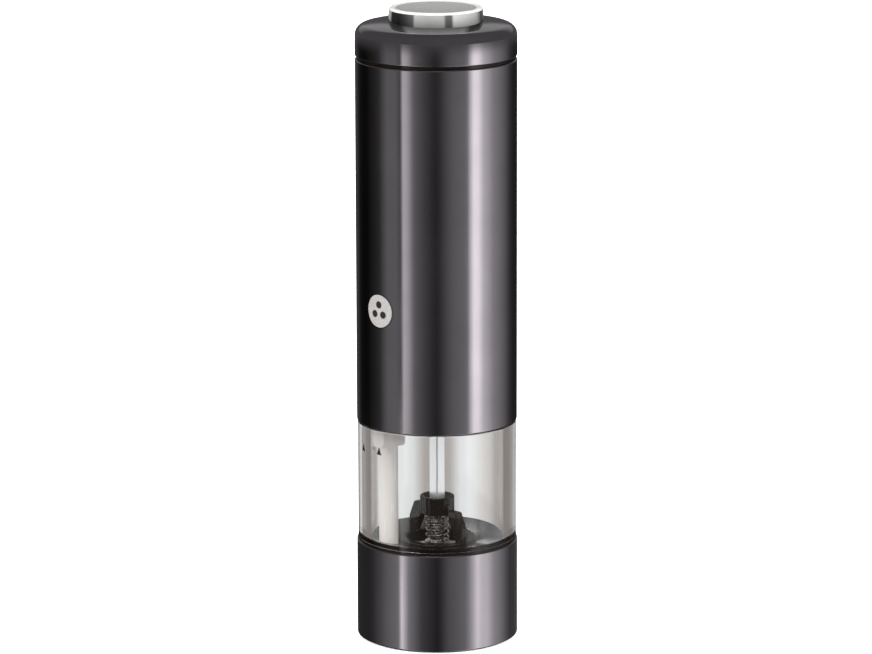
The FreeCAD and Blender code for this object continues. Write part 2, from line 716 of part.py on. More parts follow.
def battery_carrier():
    """Four open tubes between two discs, which the cells drop into from above."""
    top = 197.2
    bores = [disc(CELL_R + 0.2, CARRIER_FLOOR, top + 1, x, y) for x, y in cell_places()]
    tubes = [disc(CELL_R + 1.2, CARRIER_LOW, top, x, y) for x, y in cell_places()]
    rims = [disc(24.9, CARRIER_LOW, CARRIER_FLOOR), disc(24.9, top - 1.6, top)]
    body = join(rims + tubes).cut(group(bores)).cut(disc(3.2, CARRIER_FLOOR, top + 1))
    holes = []
    for angle in FRAME_POST_ANGLES:
        x, y = polar(FRAME_POST_ORBIT, angle)
        holes.append(disc(1.35, CARRIER_LOW - 1, CARRIER_FLOOR + 1, x, y))
        holes.append(disc(2.5, top - 2, top + 1, x, y))
    return body.cut(group(holes))


def carrier_screws():
    screws = []
    for angle in FRAME_POST_ANGLES:
        x, y = polar(FRAME_POST_ORBIT, angle)
        screws.append(screw(x, y, CARRIER_FLOOR + 1.4, 9.0))
    return group(screws)


def cell(index):
    """AA cell; every second one stands on its head."""
    x, y = cell_places()[index]
    body = disc(CELL_R, 0, CELL_LENGTH - 1.0)
    body = soften(body, CELL_R, CELL_LENGTH - 1.0, 0.5)
    body = body.fuse(disc(2.7, CELL_LENGTH - 1.1, CELL_LENGTH))
    if index % 2:
        body.rotate(FreeCAD.Vector(0, 0, CELL_LENGTH / 2), FreeCAD.Vector(1, 0, 0), 180)
    body.translate(FreeCAD.Vector(x, y, CELL_BOTTOM))
    return body


def lower_contacts():
    """Two plates, each of them joining two cells, with holes for the middle post."""
    plates = []
    for side in (1, -1):
        plate = block((-CELL_ORBIT * 0.7 - 3, side * 7.6 - 2.6, CARRIER_FLOOR), (
            CELL_ORBIT * 0.7 + 3, side * 7.6 + 2.6, CARRIER_FLOOR + 0.4))
        bores = [disc(CELL_R, CARRIER_FLOOR, CARRIER_FLOOR + 1, x, y) for x, y in cell_places()]
        for bore in bores:
            piece = plate.common(bore)
            if piece.Volume > 0.1:
                plates.append(piece)
    return group(plates)


def cell_springs():
    springs = []
    for x, y in cell_places():
        springs.append(coil(3.4, 0.6, CARRIER_FLOOR + 0.4, CELL_BOTTOM - 0.05, 2, x, y))
    return group(springs)


def power_strip():
    """Metal strip that carries the current from the cap's contacts down to the motor."""
    strip = block((-1.6, 23.0, CARRIER_FLOOR + 0.1), (1.6, 23.6, 195.4))
    foot = block((-1.6, 19.0, CARRIER_FLOOR + 0.1), (1.6, 23.6, CARRIER_FLOOR + 0.6))
    return turn(strip.fuse(foot), 30)


# ---- cap and button ----
GUIDE_GAP = 0.25          # gap round the button in the cap's hole


def cap():
    """Shell with a rounded shoulder and a top that rises a little towards the button's hole."""
    outside = TUBE_R + 0.05
    inside = TUBE_R - 1.15
    hole_r = BUTTON_R + GUIDE_GAP
    shell = turned([
        (0, CAP_BOTTOM), (outside, CAP_BOTTOM), (outside, CAP_EDGE), (hole_r, CAP_TOP), (0, CAP_TOP)])
    shell = soften(shell, outside, CAP_EDGE, 3.6)
    shell = soften(shell, outside, CAP_BOTTOM, 0.3)
    hollow = turned([
        (0, CAP_BOTTOM - 1), (inside, CAP_BOTTOM - 1), (inside, CAP_EDGE - 1.2),
        (hole_r, CAP_TOP - 1.3), (0, CAP_TOP - 1.3)])
    hollow = soften(hollow, inside, CAP_EDGE - 1.2, 2.8)
    return shell.cut(hollow).cut(disc(hole_r, CAP_TOP - 3, CAP_TOP + 1))


def cap_base():
    """Plastic plug under the cap: a skirt inside the tube, the black seam and the switch's floor."""
    body = turned([
        (0, 200.5), (24.9 + 0.3, 200.5), (25.2, 194.6), (26.4, 194.6), (26.4, TUBE_TOP + 0.1),
        (26.95, TUBE_TOP + 0.1), (26.95, CAP_BOTTOM - 0.1), (TUBE_R - 1.3, CAP_BOTTOM - 0.1),
        (TUBE_R - 1.3, 206.4), (24.6, 206.4), (24.6, CAP_BOTTOM), (0, CAP_BOTTOM)])
    return body


def upper_contacts():
    """Plates under the plug that join the cells' upper ends."""
    plates = []
    for side in (1, -1):
        plates.append(block((side * 7.6 - 3.2, -12.0, 199.5), (side * 7.6 + 3.2, 12.0, 200.5)))
    return group(plates)


BUTTON_FLANGE = 210.4


def push_button():
    """Chrome button with a dished top, a flange that holds it in the cap, and a stem."""
    body = disc(BUTTON_R, BUTTON_FLANGE, BUTTON_TOP)
    body = soften(body, BUTTON_R, BUTTON_TOP, 0.9)
    ball_r = 130.0
    dish = Part.makeSphere(ball_r, FreeCAD.Vector(0, 0, BUTTON_TOP - 0.75 + ball_r))
    body = body.cut(dish.common(disc(BUTTON_R - 1.8, BUTTON_TOP - 2, BUTTON_TOP + 1)))
    hollow = disc(BUTTON_R - 2.6, BUTTON_FLANGE - 1, BUTTON_TOP - 2.4)
    flange = disc(17.4, BUTTON_FLANGE, CAP_TOP - 1.6).cut(hollow)
    stem = disc(3.4, 207.4, BUTTON_TOP - 2.0)
    return join([body.cut(hollow), flange, stem])


def button_spring():
    return coil(6.4, 0.7, CAP_BOTTOM, BUTTON_TOP - 2.4 - 0.05, 5)


def switch():
    body = block((-3.6, -3.6, CAP_BOTTOM), (3.6, 3.6, 204.0))
    return body.fuse(disc(1.7, 203.9, 205.2))


PARTS = {
    "base_sleeve": base_sleeve,
    "base_body": base_body,
    "burr_carrier": burr_carrier,
    "ring_burr": ring_burr,
    "outlet_ring": outlet_ring,
    "outlet_screws": outlet_screws,
    "cross_plate": cross_plate,
    "plate_screws": plate_screws,
    "spindle_bush": spindle_bush,
    "feed_ring": feed_ring,
    "hopper_window": hopper_window,
    "lamp_conduit": lamp_conduit,
    "lamp_block": lamp_block,
    "lamp_pads": lamp_pads,
    "lamp_wires": lamp_wires,
    "lamp_led": lamp_led,
    "lamp_lens": lamp_lens,
    "grind_spindle": grind_spindle,
    "coupling_cup": coupling_cup,
    "rotor_burr": rotor_burr,
    "adjuster_knob": adjuster_knob,
    "hopper_seal": hopper_seal,
    "outer_tube": outer_tube,
    "head_liner": head_liner,
    "hopper_lid": hopper_lid,
    "lid_screws": lid_screws,
    "lamp_pins": lamp_pins,
    "shaft_bush": shaft_bush,
    "gear_case": gear_case,
    "case_screws": case_screws,
    "case_cover": case_cover,
    "motor_screws": motor_screws,
    "motor_can": motor_can,
    "motor_end": motor_end,
    "battery_carrier": battery_carrier,
    "carrier_screws": carrier_screws,
    "lower_contacts": lower_contacts,
    "cell_springs": cell_springs,
    "power_strip": power_strip,
    "drive_shaft": drive_shaft,
    "output_carrier": output_carrier,
    "first_carrier": first_carrier,
    "motor_pinion": motor_pinion,
    "cap": cap,
    "cap_base": cap_base,
    "upper_contacts": upper_contacts,
    "switch": switch,
    "button_spring": button_spring,
    "push_button": push_button,
}

for name, make in PARTS.items():
    save(name, make())

save("cup_spring", coil(3.9, 0.8, COLLAR_TOP + 0.05, CUP_BOTTOM - 0.02, 3.5))

for number in range(4):
    save("cell_" + str(number + 1), cell(number))

slow_planet = planet_gear(96.5, 101.0, 1.2)
fast_planet = planet_gear(103.4, 107.4, 1.2)
for number in range(3):
    save("slow_planet_" + str(number + 1), turn(slow_planet, 120 * number))
    save("fast_planet_" + str(number + 1), turn(fast_planet, 120 * number))
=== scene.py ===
import bmesh
import bpy
import math
from mathutils import Matrix, Vector

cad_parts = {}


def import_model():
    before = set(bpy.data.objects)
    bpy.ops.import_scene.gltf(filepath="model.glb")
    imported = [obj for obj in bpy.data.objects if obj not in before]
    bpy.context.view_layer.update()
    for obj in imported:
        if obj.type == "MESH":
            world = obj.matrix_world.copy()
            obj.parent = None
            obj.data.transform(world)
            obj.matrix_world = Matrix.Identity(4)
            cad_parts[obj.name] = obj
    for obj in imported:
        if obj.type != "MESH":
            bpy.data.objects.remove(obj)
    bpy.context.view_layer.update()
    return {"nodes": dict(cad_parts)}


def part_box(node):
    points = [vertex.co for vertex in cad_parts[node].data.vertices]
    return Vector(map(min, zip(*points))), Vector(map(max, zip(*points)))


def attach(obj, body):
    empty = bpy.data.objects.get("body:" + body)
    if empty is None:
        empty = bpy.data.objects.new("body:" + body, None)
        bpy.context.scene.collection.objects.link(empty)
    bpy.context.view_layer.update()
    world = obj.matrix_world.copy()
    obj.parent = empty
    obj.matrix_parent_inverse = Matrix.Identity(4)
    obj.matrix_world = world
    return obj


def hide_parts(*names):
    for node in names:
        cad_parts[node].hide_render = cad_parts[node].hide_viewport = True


# Battery pepper mill: finished surfaces for the outside and for what shows through the window,
# procedural materials for every part, a pale floor, soft light and one camera.

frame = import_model()

MM = 0.001
ROUND = 160               # steps round a turned piece


# ---- places, read from the frame ----
def low(node):
    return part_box(node)[0]


def high(node):
    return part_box(node)[1]


TUBE_R = high("outer_tube")[0]
BASE_R = high("base_sleeve")[0]
SEAL_R = high("hopper_seal")[0]
FLOOR_Z = high("base_sleeve")[2]
TUBE_LOW = low("outer_tube")[2]
TUBE_HIGH = high("outer_tube")[2]
CAP_LOW = low("cap")[2]
CAP_HIGH = high("cap")[2]
BUTTON_HIGH = high("push_button")[2]
CUP_LOW = low("coupling_cup")[2]
CUP_HIGH = high("coupling_cup")[2]
CUP_R = high("coupling_cup")[0]
SPRING_LOW = low("cup_spring")[2]
FIN_TOP = high("feed_ring")[2]
SHAFT_LOW = low("drive_shaft")[2]
SHAFT_HIGH = high("drive_shaft")[2]
LAMP_CENTRE = (low("lamp_led") + high("lamp_led")) / 2
LAMP_R = math.hypot(LAMP_CENTRE[0], LAMP_CENTRE[1])
LAMP_ANGLE = math.atan2(LAMP_CENTRE[1], LAMP_CENTRE[0])
NECK_TOP = high("hopper_window")[2]

WALL = 0.8 * MM           # sheet metal
HOPPER_R = 22.8 * MM
NECK_R = SEAL_R
BUTTON_R = 16.05 * MM
CONDUIT_R = 2.95 * MM
HOPPER_FLOOR = low("feed_ring")[2]     # height of the funnel where it meets the throat
WINDOW_R = 27.2 * MM      # outside of the clear wall
LIGHT_BOUNCES = 24        # enough for the double wall and what stands inside it


# ---- mesh helpers ----
def rounded(corners, steps=6):
    """Closed outline of (radius, height) points from corners of (radius, height, fillet)."""
    outline = []
    count = len(corners)
    for k in range(count):
        here = Vector(corners[k][:2])
        size = corners[k][2] if len(corners[k]) > 2 else 0.0
        before = Vector(corners[k - 1][:2]) - here
        after = Vector(corners[(k + 1) % count][:2]) - here
        if size <= 0 or before.length < 1e-9 or after.length < 1e-9:
            outline.append((here.x, here.y))
            continue
        before_dir = before.normalized()
        after_dir = after.normalized()
        half = before_dir.angle(after_dir) / 2
        reach = min(size / math.tan(half), before.length * 0.49, after.length * 0.49)
        radius = reach * math.tan(half)
        centre = here + (before_dir + after_dir).normalized() * (radius / math.sin(half))
        start = here + before_dir * reach - centre
        end = here + after_dir * reach - centre
        sweep = math.atan2(start.x * end.y - start.y * end.x, start.dot(end))
        for step in range(steps + 1):
            point = centre + Matrix.Rotation(sweep * step / steps, 2) @ start
            outline.append((max(point.x, 0.0), point.y))
    return outline


def spin(outline, segments=ROUND):
    """Mesh turned about Z."""
    bm = bmesh.new()
    columns = []
    for k in range(segments):
        angle = 2 * math.pi * k / segments
        column = []
        for radius, height in outline:
            column.append(bm.verts.new((radius * math.cos(angle), radius * math.sin(angle), height)))
        columns.append(column)
    points = len(outline)
    for k in range(segments):
        one = columns[k]
        two = columns[(k + 1) % segments]
        for i in range(points):
            j = (i + 1) % points
            bm.faces.new((one[i], two[i], two[j], one[j]))
    bmesh.ops.remove_doubles(bm, verts=bm.verts, dist=1e-7)
    bmesh.ops.dissolve_degenerate(bm, dist=1e-8, edges=bm.edges)
    bmesh.ops.recalc_face_normals(bm, faces=bm.faces)
    return bm


def slab(outline, bottom, top):
    """Upright prism from a closed outline of (x, y) points."""
    bm = bmesh.new()
    lower = [bm.verts.new((x, y, bottom)) for x, y in outline]
    upper = [bm.verts.new((x, y, top)) for x, y in outline]
    count = len(outline)
    bm.faces.new(lower)
    bm.faces.new(upper)
    for k in range(count):
        j = (k + 1) % count
        bm.faces.new((lower[k], lower[j], upper[j], upper[k]))
    bmesh.ops.recalc_face_normals(bm, faces=bm.faces)
    return bm


def wire(points, radius, sides=14):
    """Round wire along a list of points, closed at both ends."""
    bm = bmesh.new()
    rings = []
    side = None
    for k, point in enumerate(points):
        ahead = points[min(k + 1, len(points) - 1)] - points[max(k - 1, 0)]
        ahead.normalize()
        if side is None:
            side = ahead.orthogonal().normalized()
        side = (side - ahead * side.dot(ahead)).normalized()
        other = ahead.cross(side)
        ring = []
        for i in range(sides):
            angle = 2 * math.pi * i / sides
            ring.append(bm.verts.new(
                point + side * (radius * math.cos(angle)) + other * (radius * math.sin(angle))))
        rings.append(ring)
    for one, two in zip(rings, rings[1:]):
        for i in range(sides):
            j = (i + 1) % sides
            bm.faces.new((one[i], one[j], two[j], two[i]))
    bm.faces.new(rings[0])
    bm.faces.new(rings[-1])
    bmesh.ops.recalc_face_normals(bm, faces=bm.faces)
    return bm


def coil_points(radius, bottom, top, turns, dead_turns=0.6):
    """Points of a spring whose two ends lie almost flat."""
    points = []
    steps_a_turn = 36
    flat_share = 0.13
    steps = int(turns * steps_a_turn)
    flat = flat_share * (top - bottom)
    for k in range(steps + 1):
        turn = turns * k / steps
        if turn < dead_turns:
            height = bottom + flat * turn / dead_turns
        elif turn > turns - dead_turns:
            height = top - flat * (turns - turn) / dead_turns
        else:
            share = (turn - dead_turns) / (turns - 2 * dead_turns)
            height = bottom + flat + (top - bottom - 2 * flat) * share
        angle = 2 * math.pi * turn - math.pi / 2
        points.append(Vector((radius * math.cos(angle), radius * math.sin(angle), height)))
    return points


def patch(outline, azimuth, height, radius, thickness, rings=5):
    """Thin closed plate that follows a cylinder; outline is (across, up) about its middle."""
    bm = bmesh.new()

    def place(across, up, r):
        angle = azimuth + across / radius
        return bm.verts.new((r * math.cos(angle), r * math.sin(angle), height + up))

    faces = []
    for r in (radius, radius + thickness):
        layers = []
        for step in range(1, rings + 1):
            share = step / rings
            layers.append([place(u * share, v * share, r) for u, v in outline])
        middle = place(0, 0, r)
        faces.append((middle, layers))
    count = len(outline)
    for middle, layers in faces:
        for k in range(count):
            j = (k + 1) % count
            bm.faces.new((middle, layers[0][k], layers[0][j]))
            for inner, outer in zip(layers, layers[1:]):
                bm.faces.new((inner[k], outer[k], outer[j], inner[j]))
    back = faces[0][1][-1]
    front = faces[1][1][-1]
    for k in range(count):
        j = (k + 1) % count
        bm.faces.new((back[k], back[j], front[j], front[k]))
    bmesh.ops.recalc_face_normals(bm, faces=bm.faces)
    return bm


def merge(meshes):
    """One bmesh from several separate shells."""
    whole = bmesh.new()
    for part in meshes:
        copy = bpy.data.meshes.new("shell")
        part.to_mesh(copy)
        part.free()
        whole.from_mesh(copy)
        bpy.data.meshes.remove(copy)
    return whole


def turned_by(bm, angle):
    bmesh.ops.rotate(bm, verts=bm.verts, cent=(0, 0, 0), matrix=Matrix.Rotation(angle, 3, "Z"))
    return bm


def bevel(bm, width, segments=3, sharper_than=30):
    edges = []
    for edge in bm.edges:
        if len(edge.link_faces) == 2 and edge.calc_face_angle(0) > math.radians(sharper_than):
            edges.append(edge)
    bmesh.ops.bevel(
        bm, geom=edges, offset=width, segments=segments, profile=0.5, affect="EDGES", clamp_overlap=True)
    return bm


def flatten_normals(obj):
    """Keeps large faces flat beside small rounded edges: normals are weighted by area."""
    modifier = obj.modifiers.new("weighted", "WEIGHTED_NORMAL")
    modifier.keep_sharp = True
    mesh = bpy.data.meshes.new_from_object(obj.evaluated_get(bpy.context.evaluated_depsgraph_get()))
    obj.modifiers.clear()
    plain = obj.data
    obj.data = mesh
    name = plain.name
    bpy.data.meshes.remove(plain)
    mesh.name = name


def piece(name, bm, body, material, stands_for=(), crease=40):
    """Puts a mesh in the scene, smooth but for its creases, and ties it to its CAD body."""
    mesh = bpy.data.meshes.new(name)
    bm.to_mesh(mesh)
    bm.free()
    mesh.shade_smooth()
    mesh.set_sharp_from_angle(angle=math.radians(crease))
    mesh.materials.append(material)
    obj = bpy.data.objects.new(name, mesh)
    bpy.context.scene.collection.objects.link(obj)
    flatten_normals(obj)
    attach(obj, body)
    if stands_for:
        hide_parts(*stands_for)
    return obj


# ---- material helpers ----
class Finish:
    """A Principled material and short ways to give it detail."""

    def __init__(self, name, colour, metallic=0.0, roughness=0.4, **values):
        self.material = bpy.data.materials.new(name)
        self.material.use_nodes = True
        self.tree = self.material.node_tree
        self.shader = self.tree.nodes["Principled BSDF"]
        self.output = self.tree.nodes["Material Output"]
        self.shader.inputs["Base Color"].default_value = (*colour, 1)
        self.shader.inputs["Metallic"].default_value = metallic
        self.shader.inputs["Roughness"].default_value = roughness
        for key, value in values.items():
            self.shader.inputs[key.replace("_", " ")].default_value = value
        self.coords = self.tree.nodes.new("ShaderNodeTexCoord")

    def node(self, kind, **settings):
        made = self.tree.nodes.new(kind)
        for key, value in settings.items():
            setattr(made, key, value)
        return made

    def link(self, out_socket, in_socket):
        self.tree.links.new(out_socket, in_socket)

    def noise(self, scale, stretch=(1, 1, 1), detail=3.0, rough=0.55):
        """Noise in object space; scale is in waves per metre, stretch shortens an axis."""
        mapping = self.node("ShaderNodeMapping")
        mapping.inputs["Scale"].default_value = stretch
        self.link(self.coords.outputs["Object"], mapping.inputs["Vector"])
        texture = self.node("ShaderNodeTexNoise")
        texture.inputs["Scale"].default_value = scale
        texture.inputs["Detail"].default_value = detail
        texture.inputs["Roughness"].default_value = rough
        self.link(mapping.outputs["Vector"], texture.inputs["Vector"])
        return texture.outputs["Fac"]

    def rings(self, scale):
        """Noise that changes only with the distance from the axis, as on a turned face."""
        split = self.node("ShaderNodeSeparateXYZ")
        self.link(self.coords.outputs["Object"], split.inputs["Vector"])
        across = self.node("ShaderNodeCombineXYZ")
        self.link(split.outputs["X"], across.inputs["X"])
        self.link(split.outputs["Y"], across.inputs["Y"])
        length = self.node("ShaderNodeVectorMath", operation="LENGTH")
        self.link(across.outputs["Vector"], length.inputs[0])
        texture = self.node("ShaderNodeTexNoise", noise_dimensions="1D")
        texture.inputs["Scale"].default_value = scale
        texture.inputs["Detail"].default_value = 4.0
        self.link(length.outputs["Value"], texture.inputs["W"])
        return texture.outputs["Fac"]

    def spread(self, source, low_value, high_value, low_at=0.3, high_at=0.7):
        """Maps a noise to a range of values."""
        mapped = self.node("ShaderNodeMapRange")
        mapped.inputs["From Min"].default_value = low_at
        mapped.inputs["From Max"].default_value = high_at
        mapped.inputs["To Min"].default_value = low_value
        mapped.inputs["To Max"].default_value = high_value
        self.link(source, mapped.inputs["Value"])
        return mapped.outputs["Result"]

    def colours(self, source, stops):
        """Colours along a noise, each stop being (place, colour)."""
        ramp = self.node("ShaderNodeValToRGB")
        while len(ramp.color_ramp.elements) < len(stops):
            ramp.color_ramp.elements.new(0.5)
        for element, (place, colour) in zip(ramp.color_ramp.elements, stops):
            element.position = place
            element.color = (*colour, 1)
        self.link(source, ramp.inputs["Fac"])
        return ramp.outputs["Color"]

    def height(self):
        split = self.node("ShaderNodeSeparateXYZ")
        self.link(self.coords.outputs["Object"], split.inputs["Vector"])
        return split.outputs["Z"]

    def colour_from(self, source):
        self.link(source, self.shader.inputs["Base Color"])

    def rough_from(self, source):
        self.link(source, self.shader.inputs["Roughness"])

    def bump_from(self, source, depth, strength=1.0):
        """Bump; depth is in metres."""
        bump = self.node("ShaderNodeBump")
        bump.inputs["Strength"].default_value = strength
        bump.inputs["Distance"].default_value = depth
        self.link(source, bump.inputs["Height"])
        self.link(bump.outputs["Normal"], self.shader.inputs["Normal"])

    def let_lamps_through(self):
        """Lamps light what lies behind the glass."""
        path = self.node("ShaderNodeLightPath")
        clear = self.node("ShaderNodeBsdfTransparent")
        clear.inputs["Color"].default_value = (0.99, 0.99, 0.985, 1)
        mix = self.node("ShaderNodeMixShader")
        self.link(path.outputs["Is Shadow Ray"], mix.inputs["Fac"])
        self.link(self.shader.outputs["BSDF"], mix.inputs[1])
        self.link(clear.outputs["BSDF"], mix.inputs[2])
        self.link(mix.outputs["Shader"], self.output.inputs["Surface"])


# ---- materials ----
def metal_skin():
    """Dark purple-grey, polished and tinted metal with faint smudges."""
    m = Finish("metal_skin", (0.46, 0.43, 0.46), metallic=1.0, roughness=0.12)
    smudge = m.noise(55, detail=4)
    m.colour_from(m.colours(smudge, [(0.25, (0.44, 0.412, 0.44)), (0.75, (0.50, 0.465, 0.50))]))
    m.rough_from(m.spread(m.noise(90, stretch=(1, 1, 0.35), detail=6), 0.07, 0.11))
    m.bump_from(m.noise(2600, detail=1), 0.0000012)
    return m.material


def chrome():
    """Chrome, its side painted darker towards the cap: a painted dark reflection of the cap."""
    m = Finish("button_chrome", (0.86, 0.86, 0.85), metallic=1.0, roughness=0.06)
    wear = m.colours(m.noise(120), [(0.3, (0.82, 0.82, 0.80)), (0.7, (0.90, 0.90, 0.88))])
    # painted reflection: the colour darkens towards the cap, in place of the dark cap mirrored in the side
    painted_cap_reflection = m.spread(m.height(), 0.40, 1.0, CAP_HIGH - 0.2 * MM, BUTTON_HIGH - 1.3 * MM)
    shade = m.node("ShaderNodeVectorMath", operation="SCALE")
    m.link(wear, shade.inputs[0])
    m.link(painted_cap_reflection, shade.inputs["Scale"])
    m.colour_from(shade.outputs["Vector"])
    m.rough_from(m.spread(m.noise(260, detail=5), 0.06, 0.11))
    m.bump_from(m.noise(1500, detail=1), 0.000001)
    return m.material


def satin_dish():
    """Finely turned face of the button."""
    m = Finish("button_satin", (0.78, 0.78, 0.775), metallic=0.85, roughness=0.28)
    turned = m.rings(9000)
    m.colour_from(m.colours(turned, [(0.3, (0.77, 0.77, 0.75)), (0.7, (0.87, 0.87, 0.85))]))
    m.rough_from(m.spread(turned, 0.24, 0.34))
    m.bump_from(turned, 0.000004)
    return m.material


def button_rim_painted_highlight():
    """Brushed edge of the button, painted paler and less metallic than the chrome: a painted highlight."""
    m = Finish("button_rim_painted_highlight", (0.72, 0.72, 0.71), metallic=0.3, roughness=0.22)
    m.colour_from(m.colours(m.noise(150), [(0.3, (0.66, 0.66, 0.65)), (0.7, (0.74, 0.74, 0.73))]))
    m.rough_from(m.spread(m.noise(400, detail=4), 0.18, 0.28))
    m.bump_from(m.rings(6000), 0.000002)
    return m.material


def black_plastic():
    """Polished black plastic with a breath of brown."""
    m = Finish("black_gloss", (0.0046, 0.003, 0.0022), roughness=0.07, IOR=1.5)
    m.shader.inputs["Specular IOR Level"].default_value = 0.34
    shades = [(0.3, (0.0030, 0.0019, 0.0014)), (0.7, (0.0062, 0.0040, 0.0030))]
    m.colour_from(m.colours(m.noise(80, detail=5), shades))
    m.rough_from(m.spread(m.noise(400, detail=6), 0.05, 0.09))
    m.bump_from(m.noise(1800, detail=2), 0.000002)
    return m.material


def matt_plastic(name, colour, light=1.25):
    """Moulded plastic with a fine spark-eroded texture."""
    dark = tuple(c * 0.85 for c in colour)
    pale = tuple(min(c * light, 1.0) for c in colour)
    m = Finish(name, colour, roughness=0.5)
    m.colour_from(m.colours(m.noise(140, detail=5), [(0.3, dark), (0.7, pale)]))
    m.rough_from(m.spread(m.noise(700, detail=4), 0.40, 0.60))
    m.bump_from(m.noise(5200, detail=2), 0.00001)
    return m.material


def clear_acrylic():
    tint = (0.975, 0.975, 0.972)
    m = Finish("clear_acrylic", tint, roughness=0.0, IOR=1.49)
    m.shader.inputs["Transmission Weight"].default_value = 1.0
    dim = tuple(c * 0.985 for c in tint)
    m.colour_from(m.colours(m.noise(35, detail=2), [(0.3, dim), (0.7, tint)]))
    m.let_lamps_through()
    return m.material


def milky_acrylic():
    """Clear plastic with a white haze in it."""
    m = Finish("milky_tube", (0.95, 0.94, 0.925), roughness=0.25, IOR=1.45)
    m.shader.inputs["Transmission Weight"].default_value = 0.12
    shades = [(0.3, (0.93, 0.90, 0.87)), (0.7, (0.96, 0.93, 0.90))]
    m.colour_from(m.colours(m.noise(60, detail=3), shades))
    m.rough_from(m.spread(m.noise(500, stretch=(1, 1, 0.05), detail=4), 0.18, 0.32))
    m.let_lamps_through()
    return m.material


def steel(name, colour, stretch, roughness, metallic=1.0):
    """Drawn or ground metal; stretch sets the way its grain runs."""
    m = Finish(name, colour, metallic=metallic, roughness=roughness[0])
    grain = m.noise(4200, stretch=stretch, detail=4)
    dark = tuple(c * 0.9 for c in colour)
    pale = tuple(min(c * 1.08, 1.0) for c in colour)
    m.colour_from(m.colours(grain, [(0.3, dark), (0.7, pale)]))
    m.rough_from(m.spread(grain, *roughness))
    m.bump_from(grain, 0.000004)
    return m.material


def ceramic():
    m = Finish("ceramic", (0.80, 0.785, 0.73), roughness=0.5)
    speck = m.noise(900, detail=6, rough=0.7)
    shades = [(0.35, (0.70, 0.68, 0.62)), (0.55, (0.80, 0.785, 0.735)), (0.8, (0.86, 0.85, 0.80))]
    m.colour_from(m.colours(speck, shades))
    m.rough_from(m.spread(speck, 0.42, 0.62))
    m.bump_from(speck, 0.00002)
    return m.material


def silicone():
    m = Finish("silicone", (0.66, 0.66, 0.65), roughness=0.5)
    m.shader.inputs["Subsurface Weight"].default_value = 0.2
    m.colour_from(m.colours(m.noise(220), [(0.3, (0.60, 0.60, 0.59)), (0.7, (0.70, 0.70, 0.69))]))
    m.rough_from(m.spread(m.noise(900), 0.42, 0.58))
    m.bump_from(m.noise(2500), 0.000006)
    return m.material


def cell_wrap(name, split, plus_up):
    """Printed film on a cell: a copper-coloured band at its positive end, black below."""
    m = Finish(name, (0.05, 0.05, 0.05), metallic=0.0, roughness=0.25)
    above = m.node("ShaderNodeMath", operation="GREATER_THAN" if plus_up else "LESS_THAN")
    m.link(m.height(), above.inputs[0])
    above.inputs[1].default_value = split
    mix = m.node("ShaderNodeMix", data_type="RGBA")
    m.link(above.outputs[0], mix.inputs["Factor"])
    grain = m.noise(300, detail=4)
    m.link(m.colours(grain, [(0.3, (0.018, 0.018, 0.02)), (0.7, (0.03, 0.03, 0.033))]), mix.inputs["A"])
    m.link(m.colours(grain, [(0.3, (0.45, 0.22, 0.08)), (0.7, (0.55, 0.28, 0.11))]), mix.inputs["B"])
    m.colour_from(mix.outputs["Result"])
    m.rough_from(m.spread(grain, 0.18, 0.30))
    m.bump_from(m.noise(1200), 0.000003)
    return m.material


def print_ink(name, colour):
    m = Finish(name, colour, roughness=0.45)
    dark = tuple(c * 0.8 for c in colour)
    m.colour_from(m.colours(m.noise(1500), [(0.35, dark), (0.65, colour)]))
    m.rough_from(m.spread(m.noise(2500), 0.38, 0.55))
    m.bump_from(m.noise(6000), 0.000003)
    return m.material


METAL = metal_skin()
CHROME = chrome()
SATIN = satin_dish()
RIM = button_rim_painted_highlight()
BLACK = black_plastic()
GREY = matt_plastic("grey_plastic", (0.10, 0.10, 0.105))
PALE = matt_plastic("pale_plastic", (0.93, 0.89, 0.87), 1.05)
ACRYLIC = clear_acrylic()
CONDUIT = milky_acrylic()
STEEL = steel("bright_steel", (0.62, 0.61, 0.59), (1, 1, 0.03), (0.16, 0.30))
WIRE_STEEL = steel("spring_steel", (0.24, 0.215, 0.19), (1, 1, 1), (0.07, 0.13))
SHAFT_WHITE = steel("satin_shaft", (0.94, 0.945, 0.95), (1, 1, 0.03), (0.28, 0.38), 0.75)
PLATE_STEEL = steel("plate_steel", (0.66, 0.65, 0.62), (0.05, 1, 1), (0.22, 0.36))
BRASS = steel("turned_brass", (0.72, 0.53, 0.25), (1, 1, 1), (0.2, 0.36))
CERAMIC = ceramic()
NYLON = matt_plastic("natural_nylon", (0.72, 0.68, 0.56), 1.1)
SILICONE = silicone()
WHITE_WIRE = print_ink("white_wire", (0.36, 0.36, 0.35))
DARK_WIRE = print_ink("dark_wire", (0.10, 0.10, 0.11))
INK = print_ink("printed_mark", (0.013, 0.0115, 0.012))
ENAMEL = print_ink("badge_enamel", (0.27, 0.258, 0.25))


# ---- head ----
def head_tube():
    corners = [
        (TUBE_R - WALL, TUBE_LOW, 0.15 * MM), (TUBE_R, TUBE_LOW, 0.35 * MM),
        (TUBE_R, TUBE_HIGH, 0.35 * MM), (TUBE_R - WALL, TUBE_HIGH, 0.15 * MM)]
    piece("tube_skin", spin(rounded(corners)), "head", METAL, ["outer_tube"])


def arc(radius, height, curve, tilt, next_tilt, steps):
    """Points of an outline that bends on from a point; tilts are the normal's, in degrees."""
    points = []
    for k in range(1, steps + 1):
        angle = math.radians(tilt + (next_tilt - tilt) * k / steps)
        start = math.radians(tilt)
        points.append((radius + curve * (math.cos(angle) - math.cos(start)),
                       height + curve * (math.sin(angle) - math.sin(start))))
    return points


